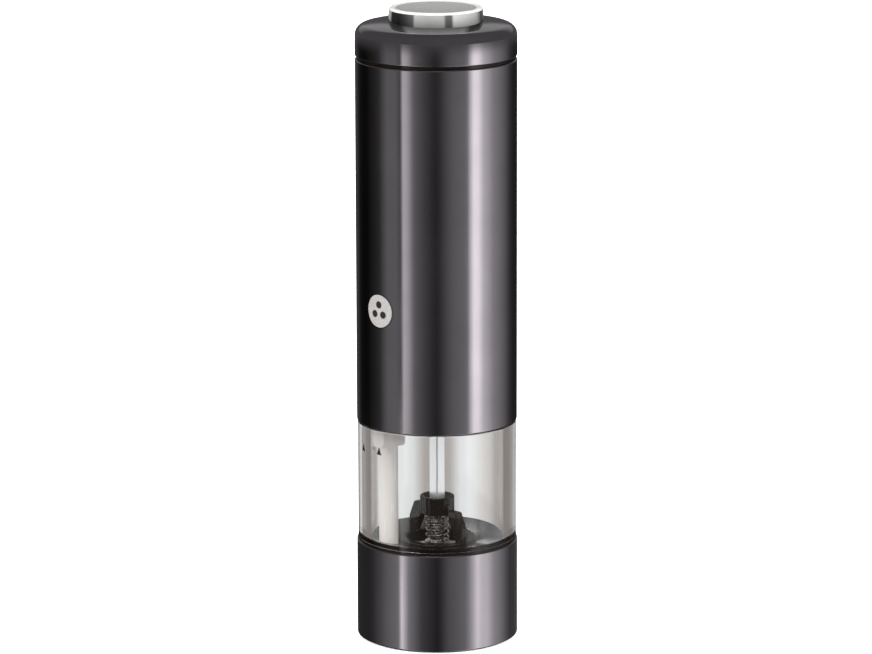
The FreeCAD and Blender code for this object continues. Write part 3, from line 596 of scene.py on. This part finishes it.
def cap_shell():
    """Cap with a slightly crowned side, a rounded shoulder and a low dome round the button."""
    outer = TUBE_R + 0.05 * MM
    hole = BUTTON_R + 0.25 * MM
    lining = outer - 1.2 * MM
    outside = [(outer, CAP_LOW + 2.5 * MM)]
    # radius of each bend, the tilts in degrees where it starts and ends, steps
    bends = (
        (155 * MM, 0, 1.8, 5),
        (0.15 * MM, 1.8, 6.5, 1),
        (3.7 * MM, 6.5, 80, 16),
        (56 * MM, 80, 88.5, 10))
    for curve, tilt, next_tilt, steps in bends:
        outside += arc(*outside[-1], curve, tilt, next_tilt, steps)
    top = outside[-1][1]
    inner_top = top - 1.3 * MM
    corners = [
        (lining, inner_top - 2.2 * MM, 1.0 * MM), (lining, CAP_LOW, 0.1 * MM), (outer, CAP_LOW, 0.35 * MM)]
    corners += outside
    corners += [
        (hole, top, 0.1 * MM), (hole, inner_top, 0.1 * MM), (outer - 4.4 * MM, inner_top - 0.7 * MM)]
    piece("cap_shell", spin(rounded(corners)), "cap", METAL, ["cap"])


def button():
    """Chrome button; its side leans in, and its top is a turned dish with a rim painted paler as a
    highlight.
    """
    flange_low = low("push_button")[2] + 3.0 * MM
    flange_high = flange_low + 2.3 * MM
    flange_r = 17.4 * MM
    dish_r = BUTTON_R - 2.3 * MM
    bore_r = BUTTON_R - 2.6 * MM
    roof = BUTTON_HIGH - 2.4 * MM      # underside of the button's top
    post_r = 3.4 * MM                  # post that presses the switch
    post_low = 207.4 * MM
    lean = 0.22 * MM
    corners = [
        (0, BUTTON_HIGH - 0.75 * MM), (dish_r * 0.5, BUTTON_HIGH - 0.62 * MM),
        (dish_r, BUTTON_HIGH - 0.22 * MM, 0.4 * MM), (dish_r + 0.6 * MM, BUTTON_HIGH, 0.5 * MM),
        (BUTTON_R - lean, BUTTON_HIGH, 1.1 * MM), (BUTTON_R + lean, flange_high),
        (flange_r, flange_high, 0.2 * MM), (flange_r, flange_low, 0.2 * MM), (bore_r, flange_low),
        (bore_r, roof, 0.5 * MM), (post_r, roof, 0.5 * MM), (post_r, post_low, 0.3 * MM), (0, post_low)]
    obj = piece("button_body", spin(rounded(corners)), "button", CHROME, ["push_button"])
    obj.data.materials.append(SATIN)
    # the rim's paler finish is a painted highlight
    obj.data.materials.append(RIM)
    for face in obj.data.polygons:
        centre = face.center
        in_dish = math.hypot(centre.x, centre.y) < dish_r
        if in_dish and centre.z > BUTTON_HIGH - 1.2 * MM:
            face.material_index = 1
        elif centre.z > BUTTON_HIGH - 1.0 * MM:
            face.material_index = 2


def badge():
    """Small round enamel badge with three dots, on the tube's left front."""
    azimuth = math.radians(-90 - 45)
    height = 118 * MM
    size = 5.6 * MM
    dots_from_middle = 2.2 * MM
    turns = [2 * math.pi * k / 48 for k in range(48)]
    circle = [(math.cos(a) * size, math.sin(a) * size) for a in turns]
    rim = [(u * 1.12, v * 1.12) for u, v in circle]
    dot = [(u * 0.22, v * 0.22) for u, v in circle[::2]]
    bm = patch(rim, azimuth, height, TUBE_R - 0.02 * MM, 0.10 * MM)
    piece("badge_rim", bm, "head", CHROME)
    piece("badge_face", patch(circle, azimuth, height, TUBE_R, 0.14 * MM), "head", ENAMEL)
    for number in range(3):
        turn = math.radians(90 + 120 * number)
        across = dots_from_middle * math.cos(turn)
        up = dots_from_middle * math.sin(turn)
        bm = patch(dot, azimuth + across / TUBE_R, height + up, TUBE_R + 0.1 * MM, 0.1 * MM, 2)
        piece("badge_dot_" + str(number + 1), bm, "head", INK)


# ---- hopper and base ----
def window():
    """Clear double-stepped wall, and the three lugs of its bayonet neck."""
    foot_low = FLOOR_Z - 3.4 * MM
    foot_r = 25.5 * MM
    lip_z = FLOOR_Z + 0.9 * MM
    shoulder = TUBE_LOW - 0.3 * MM
    segments = 224
    corners = [
        (HOPPER_R, foot_low, 0.1 * MM), (foot_r, foot_low, 0.2 * MM), (foot_r, lip_z),
        (WINDOW_R, lip_z, 0.35 * MM), (WINDOW_R, shoulder, 0.4 * MM), (NECK_R, shoulder, 0.2 * MM),
        (NECK_R, NECK_TOP, 0.3 * MM), (HOPPER_R, NECK_TOP, 0.3 * MM)]
    wall = spin(rounded(corners), segments)
    piece("window_wall", wall, "hopper", ACRYLIC, ["hopper_window"])
    lug_in = NECK_R - 0.1 * MM
    lug_out = 25.4 * MM
    lug_low = 83 * MM
    lug_high = 86 * MM
    outline = [(lug_in, lug_low), (lug_out, lug_low), (lug_out, lug_high), (lug_in, lug_high)]
    lugs = [arc_block(outline, math.radians(centre), math.radians(14)) for centre in (30, 150, 270)]
    piece("window_lugs", merge(lugs), "hopper", ACRYLIC)


def arc_block(outline, centre, width, steps=10):
    """Block with a turned outline that spans only part of the turn."""
    bm = bmesh.new()
    columns = []
    for k in range(steps + 1):
        angle = centre - width / 2 + width * k / steps
        columns.append([bm.verts.new((r * math.cos(angle), r * math.sin(angle), z)) for r, z in outline])
    count = len(outline)
    for one, two in zip(columns, columns[1:]):
        for i in range(count):
            j = (i + 1) % count
            bm.faces.new((one[i], two[i], two[j], one[j]))
    bm.faces.new(columns[0])
    bm.faces.new(columns[-1])
    bmesh.ops.recalc_face_normals(bm, faces=bm.faces)
    return bevel(bm, 0.15 * MM, 2)


def alignment_marks():
    """Two small printed triangles that show where the head opens and locks."""
    half_width = 1.15 * MM
    half_height = 1.4 * MM
    outline = [(-half_width, -half_height), (half_width, -half_height), (0, half_height)]
    places = ((-46.5, 69.2 * MM), (-67.0, 68.7 * MM))      # degrees from the front, height
    for number, (degrees, height) in enumerate(places):
        azimuth = math.radians(-90 + degrees)
        bm = patch(outline, azimuth, height, WINDOW_R, 0.03 * MM, 3)
        piece("mark_" + str(number + 1), bm, "hopper", INK)


def sleeve():
    bottom = low("base_sleeve")[2]
    corners = [
        (BASE_R - WALL, bottom, 0.1 * MM), (BASE_R, bottom, 0.4 * MM), (BASE_R, FLOOR_Z, 0.45 * MM),
        (BASE_R - WALL, FLOOR_Z, 0.1 * MM)]
    piece("sleeve_skin", spin(rounded(corners)), "hopper", METAL, ["base_sleeve"])


# ---- grinder and shaft ----
def shaft():
    flat = 2.0 * MM
    corner = 2.6 * MM
    bite = math.acos(flat / corner)
    outline = []
    for side in range(4):
        middle = math.pi / 2 * side + math.pi / 4
        for step in range(5):
            angle = middle + (math.pi / 4 - bite) * (step / 2 - 1)
            outline.append((corner * math.cos(angle), corner * math.sin(angle)))
    bm = slab(outline, SHAFT_LOW, SHAFT_HIGH)
    bevel(bm, 0.18 * MM, 3, 20)
    turned_by(bm, math.radians(45))
    piece("shaft_bar", bm, "output", SHAFT_WHITE, ["drive_shaft"], crease=60)


def cup():
    """Coupling cup with four ribs that grip the shaft's flats."""
    bore = 2.5 * MM
    socket_r = 3.1 * MM
    socket_floor = CUP_LOW + 1.9 * MM
    socket_top = CUP_HIGH - 1.9 * MM
    rib_in = 2.2 * MM
    rib_out = 3.3 * MM
    half_rib = 0.25 * MM
    rib_turn = math.radians(45 - 20.5 / 2)
    corners = [
        (bore, CUP_LOW, 0.1 * MM), (CUP_R, CUP_LOW, 0.5 * MM), (CUP_R, CUP_HIGH, 0.45 * MM),
        (CUP_R - 1.1 * MM, CUP_HIGH, 0.3 * MM), (socket_r, socket_top, 0.2 * MM), (socket_r, socket_floor),
        (0, socket_floor), (0, CUP_LOW + MM), (bore, CUP_LOW + MM)]
    shells = [spin(rounded(corners), 96)]
    outline = [(rib_in, -half_rib), (rib_out, -half_rib), (rib_out, half_rib), (rib_in, half_rib)]
    for k in range(4):
        rib = slab(outline, socket_floor - 0.1 * MM, socket_top)
        shells.append(turned_by(rib, rib_turn + k * math.pi / 2))
    piece("cup_shell", merge(shells), "spindle", BLACK, ["coupling_cup"])


def cup_spring():
    coil_r = 3.9 * MM
    turns = 4.5
    end_gap = 0.42 * MM
    points = coil_points(coil_r, SPRING_LOW + end_gap, CUP_LOW - end_gap, turns)
    piece("cup_coil", wire(points, 0.4 * MM), "spindle", WIRE_STEEL, ["cup_spring"])


def feed_fins():
    """Ring round the throat with two upright fins."""
    ring_in = 10.7 * MM
    ring_out = 13.4 * MM
    ring_top = HOPPER_FLOOR + 0.95 * MM
    corners = [
        (ring_in, HOPPER_FLOOR, 0.1 * MM), (12.5 * MM, HOPPER_FLOOR + 0.02 * MM),
        (ring_out, HOPPER_FLOOR + 0.22 * MM, 0.1 * MM), (ring_out, ring_top, 0.35 * MM),
        (ring_in, ring_top, 0.3 * MM)]
    shells = [spin(rounded(corners, 4), 96)]
    fin_in = 7.2 * MM
    fin_out = 14.0 * MM
    half_fin = 1.3 * MM
    side = [
        (11.2 * MM, HOPPER_FLOOR + 0.1 * MM), (12.5 * MM, HOPPER_FLOOR + 0.1 * MM),
        (fin_out, HOPPER_FLOOR + 0.35 * MM), (fin_out, HOPPER_FLOOR + 5.95 * MM), (11.3 * MM, FIN_TOP),
        (fin_in, FIN_TOP), (fin_in, FIN_TOP - 3.3 * MM)]
    upright = Matrix.Rotation(math.pi / 2, 3, "X")
    for k in range(2):
        fin = slab(side, -half_fin, half_fin)
        bmesh.ops.rotate(fin, verts=fin.verts, cent=(0, 0, 0), matrix=upright)
        bevel(fin, 0.35 * MM, 3)
        shells.append(turned_by(fin, math.radians(-50) + k * math.pi))
    piece("feed_fins", merge(shells), "hopper", BLACK, ["feed_ring"])


# ---- lamp ----
def lamp_parts():
    """Milky tube with a collar under the hopper's deck, and the two wires in it."""
    x = LAMP_R * math.cos(LAMP_ANGLE)
    y = LAMP_R * math.sin(LAMP_ANGLE)
    bottom = low("lamp_conduit")[2]
    top = high("lamp_conduit")[2]
    bore = CONDUIT_R - 0.7 * MM
    collar_r = CONDUIT_R + 0.9 * MM
    deck = low("base_body")[2] + 27.8 * MM
    collar_low = deck - 1.3 * MM
    collar_high = deck - 0.05 * MM
    corners = [
        (bore, bottom), (CONDUIT_R, bottom, 0.1 * MM), (CONDUIT_R, collar_low),
        (collar_r, collar_low, 0.2 * MM), (collar_r, collar_high, 0.2 * MM), (CONDUIT_R, collar_high),
        (CONDUIT_R, top), (bore, top)]
    tube = spin(rounded(corners), 64)
    bmesh.ops.translate(tube, verts=tube.verts, vec=(x, y, 0))
    piece("conduit_tube", tube, "hopper", CONDUIT, ["lamp_conduit"])
    wire_low = bottom - 0.4 * MM
    wire_length = 85.4 * MM - bottom + 0.4 * MM
    wander = 0.35                      # millimetres
    for number, side in enumerate((-0.8 * MM, 0.8 * MM)):
        across = Vector((-math.sin(LAMP_ANGLE), math.cos(LAMP_ANGLE), 0)) * side
        points = []
        for k in range(60):
            share = k / 59
            lean = Vector((math.cos(7 * share + number * 2), math.sin(5 * share + number), 0))
            lean = lean * wander * MM
            points.append(Vector((x, y, wire_low + wire_length * share)) + across + lean)
        piece("lamp_wire_" + str(number + 1), wire(points, 0.5 * MM, 10), "hopper",
                           (WHITE_WIRE, DARK_WIRE)[number])
    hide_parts("lamp_wires")


# ---- finishes for the parts kept as they are ----
def dress_cad():
    """Gives the CAD's own meshes, which show as they are, their materials."""
    finishes = {"grind_spindle": STEEL, "hopper_seal": SILICONE}
    by_material = (
        (PLATE_STEEL, ("cross_plate", "motor_can")),
        (BLACK, ("base_body", "burr_carrier", "outlet_ring", "adjuster_knob", "cap_base")),
        (CERAMIC, ("ring_burr", "rotor_burr")),
        (BRASS, ("spindle_bush", "shaft_bush", "motor_pinion", "lamp_pads", "lamp_pins", "lower_contacts",
                 "upper_contacts", "power_strip")),
        (PALE, ("lamp_block", "motor_end")),
        (CONDUIT, ("lamp_led", "lamp_lens")),
        (GREY, ("head_liner", "hopper_lid", "battery_carrier", "gear_case", "case_cover", "switch")),
        (WIRE_STEEL, ("cell_springs", "button_spring")),
        (NYLON, ("output_carrier", "first_carrier")))
    for material, nodes in by_material:
        for node in nodes:
            finishes[node] = material
    for kind in ("outlet", "plate", "lid", "case", "motor", "carrier"):
        finishes[kind + "_screws"] = STEEL
    for number in range(1, 4):
        finishes["slow_planet_" + str(number)] = NYLON
        finishes["fast_planet_" + str(number)] = NYLON
    for number in range(1, 5):
        node = "cell_" + str(number)
        bottom = low(node)[2]
        plus_up = number % 2 == 1
        share = 0.72 if plus_up else 0.28
        split = bottom + (high(node)[2] - bottom) * share
        finishes[node] = cell_wrap("cell_wrap_" + str(number), split, plus_up)
    for node, material in finishes.items():
        obj = frame["nodes"][node]
        obj.data.materials.clear()
        obj.data.materials.append(material)


# ---- floor, light, camera ----
def floor():
    size = 12.0
    corners = [(-size, -size, 0), (size, -size, 0), (size, size, 0), (-size, size, 0)]
    mesh = bpy.data.meshes.new("floor")
    mesh.from_pydata(corners, [], [(0, 1, 2, 3)])
    obj = bpy.data.objects.new("floor", mesh)
    bpy.context.scene.collection.objects.link(obj)
    m = Finish("floor_white", (0.92, 0.92, 0.92), roughness=0.9)
    m.colour_from(m.colours(m.noise(3), [(0.3, (0.915, 0.915, 0.915)), (0.7, (0.925, 0.925, 0.925))]))
    m.shader.inputs["Emission Color"].default_value = (1, 1, 1, 1)
    m.shader.inputs["Emission Strength"].default_value = 0.55
    mesh.materials.append(m.material)
    obj.visible_glossy = False
    obj.visible_transmission = False


# Brightness of the studio round the mill, by degrees from the camera's side, right positive.
SOFTBOXES = [                          # seen in the tube
    (-180, 0.083), (-152, 0.055), (-140, 0.011), (-128, 0.005), (-116, 0.005), (-97, 0.027),
    (-89, 0.043), (-74, 0.19), (-60, 0.19), (-52, 0.10), (-48, 0.80), (-42, 0.655), (-33, 0.225),
    (-28, 0.163), (-17, 0.09), (-6, 0.043), (0, 0.032), (6, 0.055), (23, 0.181), (41, 0.246),
    (45, 0.31), (55, 1.63), (62, 1.56), (71, 0.85), (89, 0.399), (116, 0.158), (128, 0.058),
    (140, 0.026), (152, 0.018), (180, 0.03)]
LOW_SOFTBOXES = [                      # seen in the base, below the others
    (-180, 0.05), (-152, 0.033), (-116, 0.035), (-106, 0.049), (-89, 0.12), (-81, 0.176), (-60, 0.28),
    (-57, 0.34), (-53, 1.343), (-47, 0.701), (-42, 0.317), (-23, 0.09), (-11, 0.051), (0, 0.026),
    (6, 0.051), (17, 0.139), (29, 0.181), (41, 0.252), (47, 0.428), (53, 0.701), (60, 1.214),
    (67, 0.967), (77, 0.896), (89, 0.483), (116, 0.163), (128, 0.07), (152, 0.068), (180, 0.136)]
HIGH_SOFTBOXES = [                     # seen in the button's side
    (-180, 0.3), (-152, 0.5), (-142, 0.4), (-134, 0.02), (-97, 0.02), (-80, 0.05), (-57, 0.16),
    (-53, 0.67), (19, 0.62), (24, 0.17), (38, 0.17), (44, 0.94), (80, 0.8), (115, 0.61), (128, 0.3),
    (140, 0.06), (180, 0.3)]
BACKDROP = [                           # seen through the window, and in what stands inside it
    (-180, 0.42), (-178.4, 0.46), (-177.2, 0.85), (-172, 0.93), (-164, 0.88), (-160, 0.30),
    (-130, 0.22), (-112, 1.05), (-78, 1.2), (-70, 0.12), (-62, 0.7), (-52, 0.7), (-45, 0.10),
    (-14, 0.10), (14, 0.10), (45, 0.10), (52, 0.8), (64, 0.8), (70, 0.15), (78, 1.2), (112, 1.05),
    (130, 0.22), (155, 0.24), (164, 0.32), (168, 0.5), (172, 0.62), (176.3, 1.0), (177.3, 0.9),
    (178.3, 0.5), (180, 0.42)]
HIGH_BACKDROP = [                      # the same above the mill
    (-180, 0.8), (-178, 1.8), (-176.3, 2.8), (-174, 1.8), (-168, 0.8), (-150, 0.3), (-110, 0.7),
    (-60, 1.6), (60, 1.6), (110, 0.7), (150, 0.2), (174, 0.15), (177, 0.35), (180, 0.8)]
CAMERA_DIP = 0.153                     # sine of the angle at which the camera looks down on the cap
# sines of heights between which one set of lights gives way to the next
LOW_BAND = (-0.2521, -0.2436)          # low softboxes to softboxes
SKY_RISE = (0.165, 0.208)              # plain grey to the sky that brightens to the back
BACKDROP_RISE = (0.08, 0.2)            # backdrop to the dim part above it
HIGH_RISE = (0.28, 0.42)               # dim part to the high backdrop
# how far an upright face leans, in radians, where its view from the camera's height changes sets
FADE_BAND = (0.003, 0.031)             # softboxes to plain grey
BUTTON_BAND = (0.058, 0.066)           # plain grey to high softboxes
SKY_BAND = (0.088, 0.100)              # high softboxes to sky
DIM_GREY = (0.09, 0.09, 0.09, 1)
FRONT_GREY = (0.45, 0.45, 0.45, 1)     # seen to the front by a ray mirrored twice, from cap to button
DIM_BROWN = (0.20, 0.185, 0.18, 1)


def world_value(tree, source, stops, warmth=0.0):
    """Greys round the mill; warmth turns the darker ones a little brown and the palest a little blue."""
    ramp = tree.nodes.new("ShaderNodeValToRGB")
    while len(ramp.color_ramp.elements) < len(stops):
        ramp.color_ramp.elements.new(0.5)
    for element, (degrees, value) in zip(ramp.color_ramp.elements, stops):
        element.position = (degrees + 180) / 360
        brown = warmth * max(-0.15, 0.8 - value)
        element.color = (value * (1 + 0.2 * brown), value, value * (1 - 0.12 * brown), 1)
    tree.links.new(source, ramp.inputs["Fac"])
    return ramp.outputs["Color"]


def math_node(tree, operation, *values):
    """Math node whose inputs are numbers or other nodes' outputs."""
    node = tree.nodes.new("ShaderNodeMath")
    node.operation = operation
    for socket, value in zip(node.inputs, values):
        if isinstance(value, (int, float)):
            socket.default_value = value
        else:
            tree.links.new(value, socket)
    return node.outputs[0]


def map_range(tree, source, from_low, from_high, to_low=0.0, to_high=1.0):
    mapped = tree.nodes.new("ShaderNodeMapRange")
    mapped.inputs["From Min"].default_value = from_low
    mapped.inputs["From Max"].default_value = from_high
    mapped.inputs["To Min"].default_value = to_low
    mapped.inputs["To Max"].default_value = to_high
    tree.links.new(source, mapped.inputs["Value"])
    return mapped.outputs["Result"]


def mix_colour(tree, factor, one, two):
    mix = tree.nodes.new("ShaderNodeMix")
    mix.data_type = "RGBA"
    tree.links.new(factor, mix.inputs["Factor"])
    for socket, value in ((mix.inputs[6], one), (mix.inputs[7], two)):
        if isinstance(value, tuple):
            socket.default_value = value
        else:
            tree.links.new(value, socket)
    return mix.outputs[2]


def world():
    """Studio that shows its softboxes to reflections, a backdrop through the glass, and plain light."""
    studio = bpy.data.worlds.new("studio")
    bpy.context.scene.world = studio
    studio.use_nodes = True
    tree = studio.node_tree
    tree.nodes.clear()
    coords = tree.nodes.new("ShaderNodeTexCoord")
    split = tree.nodes.new("ShaderNodeSeparateXYZ")
    tree.links.new(coords.outputs["Generated"], split.inputs["Vector"])
    depth = split.outputs["Y"]
    height = split.outputs["Z"]
    angle = math_node(tree, "ARCTAN2", split.outputs["X"], math_node(tree, "MULTIPLY", depth, -1))
    turned = math_node(tree, "MULTIPLY_ADD", angle, 1 / (2 * math.pi), 0.5)
    half = math_node(tree, "SQRT", math_node(tree, "MULTIPLY_ADD", depth, -0.5, 0.502))
    lean = math_node(
        tree, "DIVIDE", math_node(tree, "ADD", height, CAMERA_DIP), math_node(tree, "MULTIPLY", half, 2.0))

    sky = map_range(tree, depth, 0.72, 0.97, 0.09, 0.33)
    sky = mix_colour(tree, map_range(tree, height, *SKY_RISE), DIM_GREY, sky)
    low_boxes = world_value(tree, turned, LOW_SOFTBOXES)
    boxes = world_value(tree, turned, SOFTBOXES)
    high_boxes = world_value(tree, turned, HIGH_SOFTBOXES)
    mirrored = mix_colour(tree, map_range(tree, height, *LOW_BAND), low_boxes, boxes)
    mirrored = mix_colour(tree, map_range(tree, lean, *FADE_BAND), mirrored, DIM_GREY)
    mirrored = mix_colour(tree, map_range(tree, lean, *BUTTON_BAND), mirrored, high_boxes)
    mirrored = mix_colour(tree, map_range(tree, lean, *SKY_BAND), mirrored, sky)
    high_back = world_value(tree, turned, HIGH_BACKDROP)
    high_back = mix_colour(tree, map_range(tree, height, *HIGH_RISE), DIM_BROWN, high_back)
    back = world_value(tree, turned, BACKDROP, 1.0)
    back = mix_colour(tree, map_range(tree, height, *BACKDROP_RISE), back, high_back)

    path = tree.nodes.new("ShaderNodeLightPath")
    twice = map_range(tree, path.outputs["Ray Depth"], 2.2, 2.8)
    to_front = map_range(tree, depth, -0.2, 0.1, 1.0, 0.0)
    mirrored = mix_colour(tree, math_node(tree, "MULTIPLY", twice, to_front), mirrored, FRONT_GREY)
    plain = map_range(tree, depth, -0.3, 0.3, 2.7, 0.9)
    seen = mix_colour(tree, path.outputs["Is Glossy Ray"], plain, mirrored)
    seen = mix_colour(tree, path.outputs["Is Transmission Ray"], seen, back)
    seen = mix_colour(tree, path.outputs["Is Camera Ray"], seen, (1, 1, 1, 1))
    light = tree.nodes.new("ShaderNodeBackground")
    tree.links.new(seen, light.inputs["Color"])
    out = tree.nodes.new("ShaderNodeOutputWorld")
    tree.links.new(light.outputs["Background"], out.inputs["Surface"])


def lamp_above():
    """Weak round lamp, high at the left front."""
    light = bpy.data.lights.new("overhead", "AREA")
    light.shape = "DISK"
    light.size = 1.6
    light.energy = 9
    aim = Vector((0, 0, 0.1))
    obj = bpy.data.objects.new("overhead", light)
    obj.location = (-0.5, -0.7, 1.5)
    obj.rotation_euler = (aim - obj.location).to_track_quat("-Z", "Y").to_euler()
    bpy.context.scene.collection.objects.link(obj)
    obj.visible_glossy = False
    obj.visible_camera = False


def camera():
    """Long lens, a little above the mill and looking down on it."""
    place = (-0.00024, -1.5661, 0.4521)
    pitch = math.radians(12.385)
    roll = math.radians(-0.15)
    data = bpy.data.cameras.new("camera")
    data.sensor_width = 36.0
    data.lens = 193.45
    data.clip_end = 50
    obj = bpy.data.objects.new("camera", data)
    obj.matrix_world = (
        Matrix.Translation(place)
        @ Matrix.Rotation(math.pi / 2 - pitch, 4, "X")
        @ Matrix.Rotation(roll, 4, "Z"))
    bpy.context.scene.collection.objects.link(obj)
    bpy.context.scene.camera = obj


head_tube()
cap_shell()
button()
badge()
window()
alignment_marks()
sleeve()
shaft()
cup()
cup_spring()
feed_fins()
lamp_parts()
dress_cad()
floor()
world()
lamp_above()
camera()

scene = bpy.context.scene
scene.view_settings.view_transform = "Standard"
scene.view_settings.look = "None"
scene.cycles.max_bounces = LIGHT_BOUNCES
scene.cycles.transmission_bounces = LIGHT_BOUNCES
scene.cycles.glossy_bounces = 12
scene.cycles.transparent_max_bounces = 16
